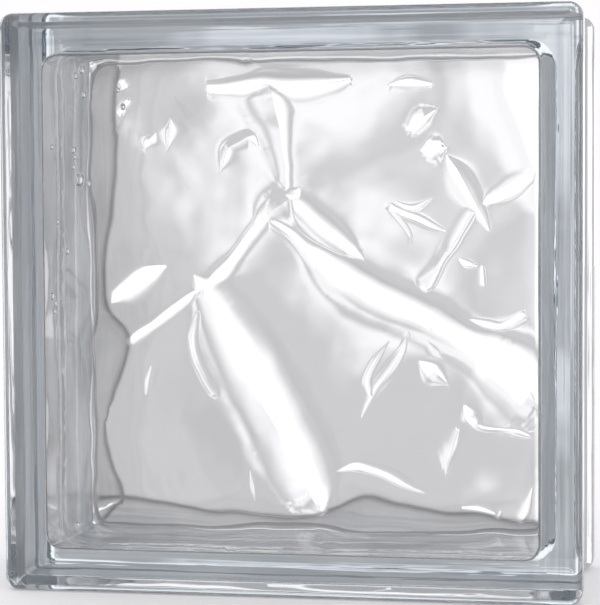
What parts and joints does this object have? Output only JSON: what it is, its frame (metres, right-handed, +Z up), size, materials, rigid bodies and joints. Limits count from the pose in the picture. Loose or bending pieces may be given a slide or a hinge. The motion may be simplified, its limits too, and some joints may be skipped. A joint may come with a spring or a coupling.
{
  "type": "glass block",
  "caption": "Clear hollow glass building block: two pressed square halves with a folded wave relief inside, fused at a seam, with rims round a mortar channel.",
  "frame": {"origin": "middle of the underside, on the surface the block stands on", "axes": "+Z up, +X along the width to the right seen from the front, +Y through the thickness from the front face to the back face"},
  "size_m": [0.19, 0.08, 0.19],
  "materials": {
    "glass": "clear pressed soda-lime glass, fire-polished, with a faint blue-green tint in the thick edges"
  },
  "bodies": {
    "root": {"front_half": "glass", "back_half": "glass"}
  },
  "joints": []
}
